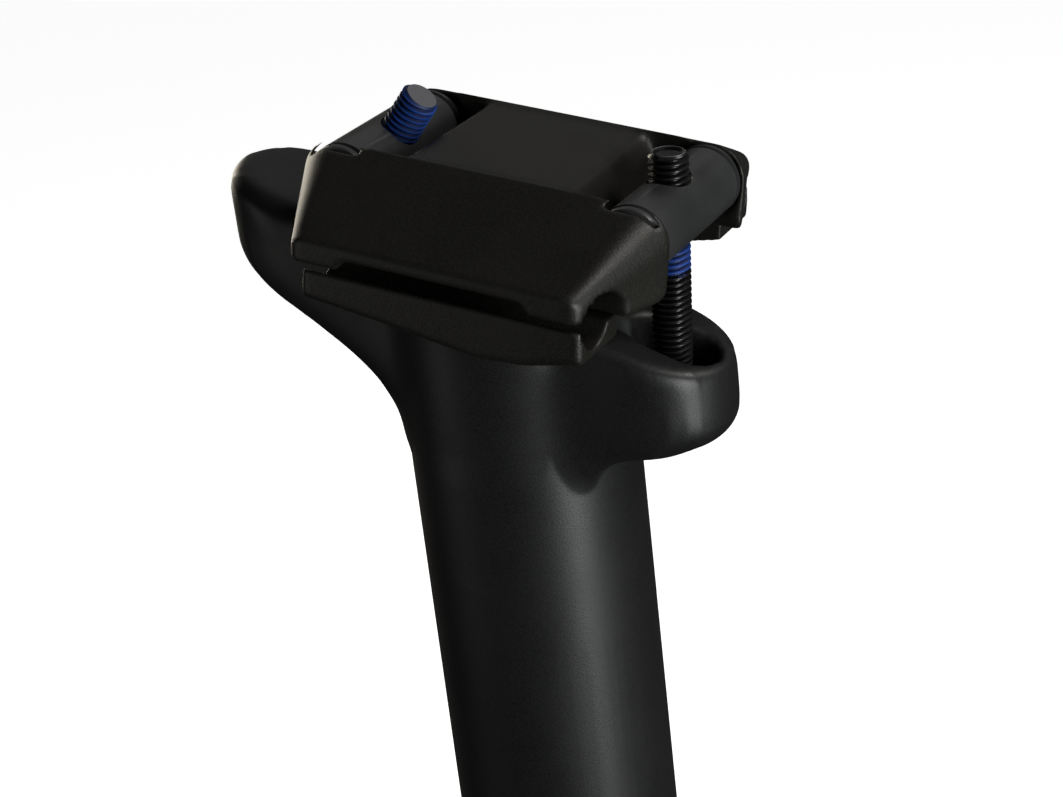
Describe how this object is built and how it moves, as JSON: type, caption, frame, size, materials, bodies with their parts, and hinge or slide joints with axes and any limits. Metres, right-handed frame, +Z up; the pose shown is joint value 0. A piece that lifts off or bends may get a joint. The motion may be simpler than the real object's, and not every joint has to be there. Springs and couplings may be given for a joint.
{
  "type": "suspension seatpost",
  "caption": "Telescopic coil-sprung bicycle seatpost: a keyed upper tube slides in a round post and carries a two-bolt, tilt-adjustable clamp for saddle rails.",
  "frame": {"origin": "on the post's axis at the minimum insertion line, 100 mm above its lower end", "axes": "+Z up along the post towards the saddle, +X towards the front of the bicycle, +Y to its left"},
  "size_m": [0.0674, 0.0536, 0.3674],
  "materials": {
    "post_anodised": "satin black anodised",
    "head_anodised": "bead blasted matte black anodised",
    "clamp_anodised": "bead blasted matte black anodised",
    "seal_rubber": "matte",
    "bush_polymer": "smooth low friction polymer",
    "bumper_elastomer": "matte elastomer",
    "key_brass": "machined",
    "plug_alloy": "turned and anodised",
    "washer_steel": "zinc plated",
    "spring_steel": "powder coated spring steel",
    "barrel_steel": "black phosphated steel",
    "bolt_black": "black oxide steel with blue thread locking patch"
  },
  "bodies": {
    "lower_post": {"lower_tube": "post_anodised", "collar_nut": "post_anodised", "wiper_seal": "seal_rubber", "upper_bush": "bush_polymer", "spring_seat_washer": "washer_steel", "spring_spacer": "bush_polymer", "bottom_out_bumper": "bumper_elastomer", "main_spring": "spring_steel"},
    "preload_screw": {"preload_plug": "plug_alloy", "plug_seal": "seal_rubber"},
    "sliding_post": {"upper_post": "head_anodised", "lower_bush": "bush_polymer", "top_out_ring": "bumper_elastomer", "distance_sleeve": "bush_polymer", "guide_key_1": "key_brass", "guide_key_2": "key_brass", "guide_key_3": "key_brass", "spring_end_cap": "plug_alloy"},
    "rail_clamp": {"lower_clamp": "clamp_anodised", "upper_clamp": "clamp_anodised"},
    "front_barrel": {"front_barrel_nut": "barrel_steel"},
    "rear_barrel": {"rear_barrel_nut": "barrel_steel"},
    "front_seat": {"front_bolt_seat": "washer_steel"},
    "rear_seat": {"rear_bolt_seat": "washer_steel"},
    "front_bolt": {"front_clamp_bolt": "bolt_black"},
    "rear_bolt": {"rear_clamp_bolt": "bolt_black"}
  },
  "joints": [
    {"name": "suspension_travel", "type": "slide", "parent": "lower_post", "child": "sliding_post", "axis": [0, 0, 1], "range_m": [-0.04, 0], "stiffness_N_per_m": 20000, "springref_m": 0.015, "deforming": ["main_spring"]},
    {"name": "preload_plug_turn", "type": "hinge", "parent": "lower_post", "child": "preload_screw", "pos_m": [0, 0, -0.09], "axis": [0, 0, 1], "continuous": true},
    {"name": "saddle_tilt", "type": "hinge", "parent": "sliding_post", "child": "rail_clamp", "pos_m": [0.00622, 0, 0.26778], "axis": [0, 1, 0], "range_deg": [-4, 16]},
    {"name": "front_barrel_turn", "type": "hinge", "parent": "rail_clamp", "child": "front_barrel", "pos_m": [0.02341, 0, 0.2523], "axis": [0, 1, 0], "range_deg": [-25.67, 6.64]},
    {"name": "front_bolt_reach", "type": "slide", "parent": "front_barrel", "child": "front_seat", "axis": [0.068, 0, 0.9977], "range_m": [-0.00118, 0.00442]},
    {"name": "front_bolt_spin", "type": "hinge", "parent": "front_seat", "child": "front_bolt", "pos_m": [0.02341, 0, 0.2523], "axis": [0.068, 0, 0.9977], "continuous": true},
    {"name": "rear_barrel_turn", "type": "hinge", "parent": "rail_clamp", "child": "rear_barrel", "pos_m": [-0.01492, 0, 0.25837], "axis": [0, 1, 0], "range_deg": [-27.54, 7.11]},
    {"name": "rear_bolt_reach", "type": "slide", "parent": "rear_barrel", "child": "rear_seat", "axis": [0.6374, 0, 0.7705], "range_m": [-0.00397, 0.00107]},
    {"name": "rear_bolt_spin", "type": "hinge", "parent": "rear_seat", "child": "rear_bolt", "pos_m": [-0.01492, 0, 0.25837], "axis": [0.6374, 0, 0.7705], "continuous": true}
  ],
  "couplings": [
    {"joint": "front_barrel_turn", "follows": "saddle_tilt", "ratio": -1.5858},
    {"joint": "front_bolt_reach", "follows": "saddle_tilt", "m_per_rad": 0.01547},
    {"joint": "rear_barrel_turn", "follows": "saddle_tilt", "ratio": -1.7025},
    {"joint": "rear_bolt_reach", "follows": "saddle_tilt", "m_per_rad": -0.013844}
  ]
}
